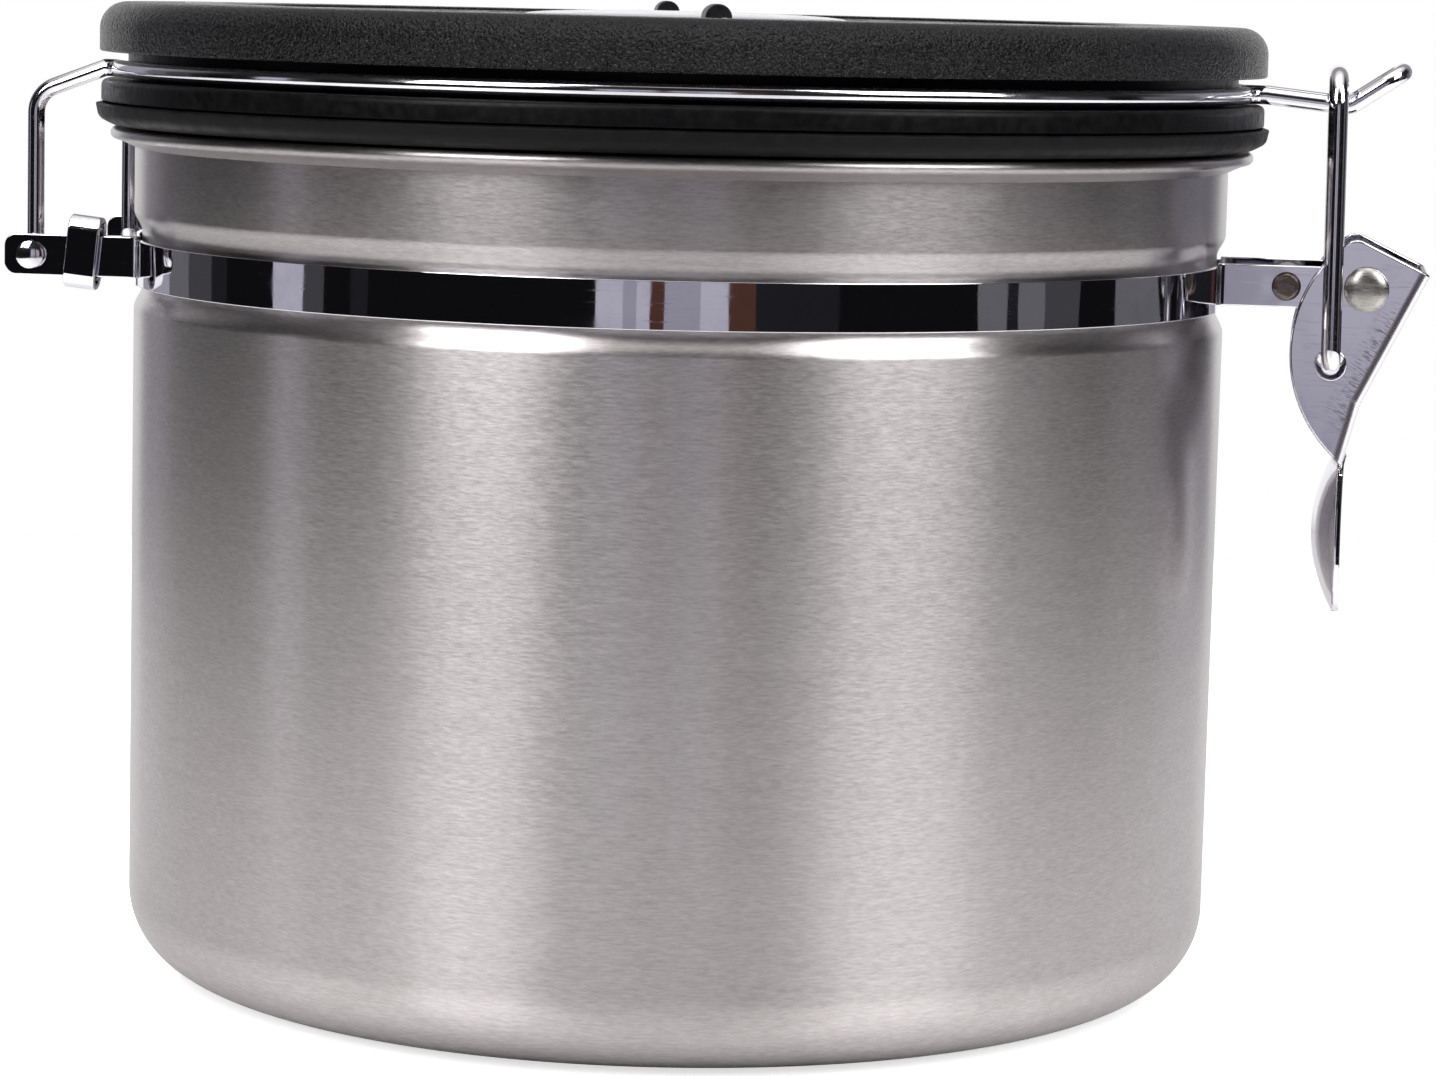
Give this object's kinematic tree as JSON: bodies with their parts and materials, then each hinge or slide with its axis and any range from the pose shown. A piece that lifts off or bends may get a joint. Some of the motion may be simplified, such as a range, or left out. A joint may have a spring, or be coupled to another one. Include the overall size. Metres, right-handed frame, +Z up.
{
  "type": "coffee canister",
  "caption": "Round steel food canister: a wire bail carries a plastic lid with turning date dials and a gas valve, and an over-centre latch pulls the lid down on its gasket.",
  "frame": {"origin": "centre of the face that the can stands on", "axes": "+Z up along the can's axis, +X towards the latch, -X towards the hinge, -Y towards the side that the picture shows"},
  "size_m": [0.1581, 0.1328, 0.1107],
  "materials": {
    "brushed_steel": "brushed",
    "chrome": "polished",
    "rivet_steel": "satin",
    "grained_black_plastic": "fine grain",
    "smooth_black_plastic": "semi-gloss",
    "dark_grey_silicone": "matte",
    "dial_grey_plastic": "satin",
    "pale_plastic": "gloss",
    "pale_silicone": "matte",
    "white_felt": "felt"
  },
  "bodies": {
    "can": {"can_body": "brushed_steel", "band_front": "chrome", "band_rear": "chrome", "hinge_bridge": "chrome", "hinge_collar_front": "chrome", "hinge_collar_rear": "chrome", "closing_rivet": "rivet_steel", "lever_pivot": "rivet_steel"},
    "lid": {"bail_wire": "chrome", "lid_cap": "grained_black_plastic", "lid_base": "smooth_black_plastic", "lid_gasket": "dark_grey_silicone", "lid_screw_1": "rivet_steel", "lid_screw_2": "rivet_steel", "lid_screw_3": "rivet_steel", "lid_screw_4": "rivet_steel", "dial_hub": "smooth_black_plastic", "valve_cover": "pale_plastic", "valve_body": "smooth_black_plastic", "valve_disc": "pale_silicone", "valve_filter": "white_felt", "filter_grille": "smooth_black_plastic"},
    "day_ring": {"day_ring": "dial_grey_plastic"},
    "month_ring": {"month_ring": "dial_grey_plastic"},
    "latch_lever": {"latch_lever": "chrome"},
    "latch_loop": {"latch_loop": "chrome"}
  },
  "joints": [
    {"name": "lid_hinge", "type": "hinge", "parent": "can", "child": "lid", "pos_m": [-0.07015, 0, 0.081], "axis": [0, -1, 0], "range_deg": [0, 110]},
    {"name": "day_ring_turn", "type": "hinge", "parent": "lid", "child": "day_ring", "pos_m": [0, 0, 0.1069], "axis": [0, 0, 1], "continuous": true},
    {"name": "month_ring_turn", "type": "hinge", "parent": "lid", "child": "month_ring", "pos_m": [0, 0, 0.1069], "axis": [0, 0, 1], "continuous": true},
    {"name": "lever_turn", "type": "hinge", "parent": "can", "child": "latch_lever", "pos_m": [0.0778, 0, 0.081], "axis": [0, -1, 0], "range_deg": [0, 135]},
    {"name": "loop_turn", "type": "hinge", "parent": "latch_lever", "child": "latch_loop", "pos_m": [0.0742, 0, 0.0725], "axis": [0, -1, 0], "range_deg": [-103, 0]}
  ],
  "couplings": [
    {"joint": "loop_turn", "follows": "lever_turn", "ratio": -0.76}
  ]
}
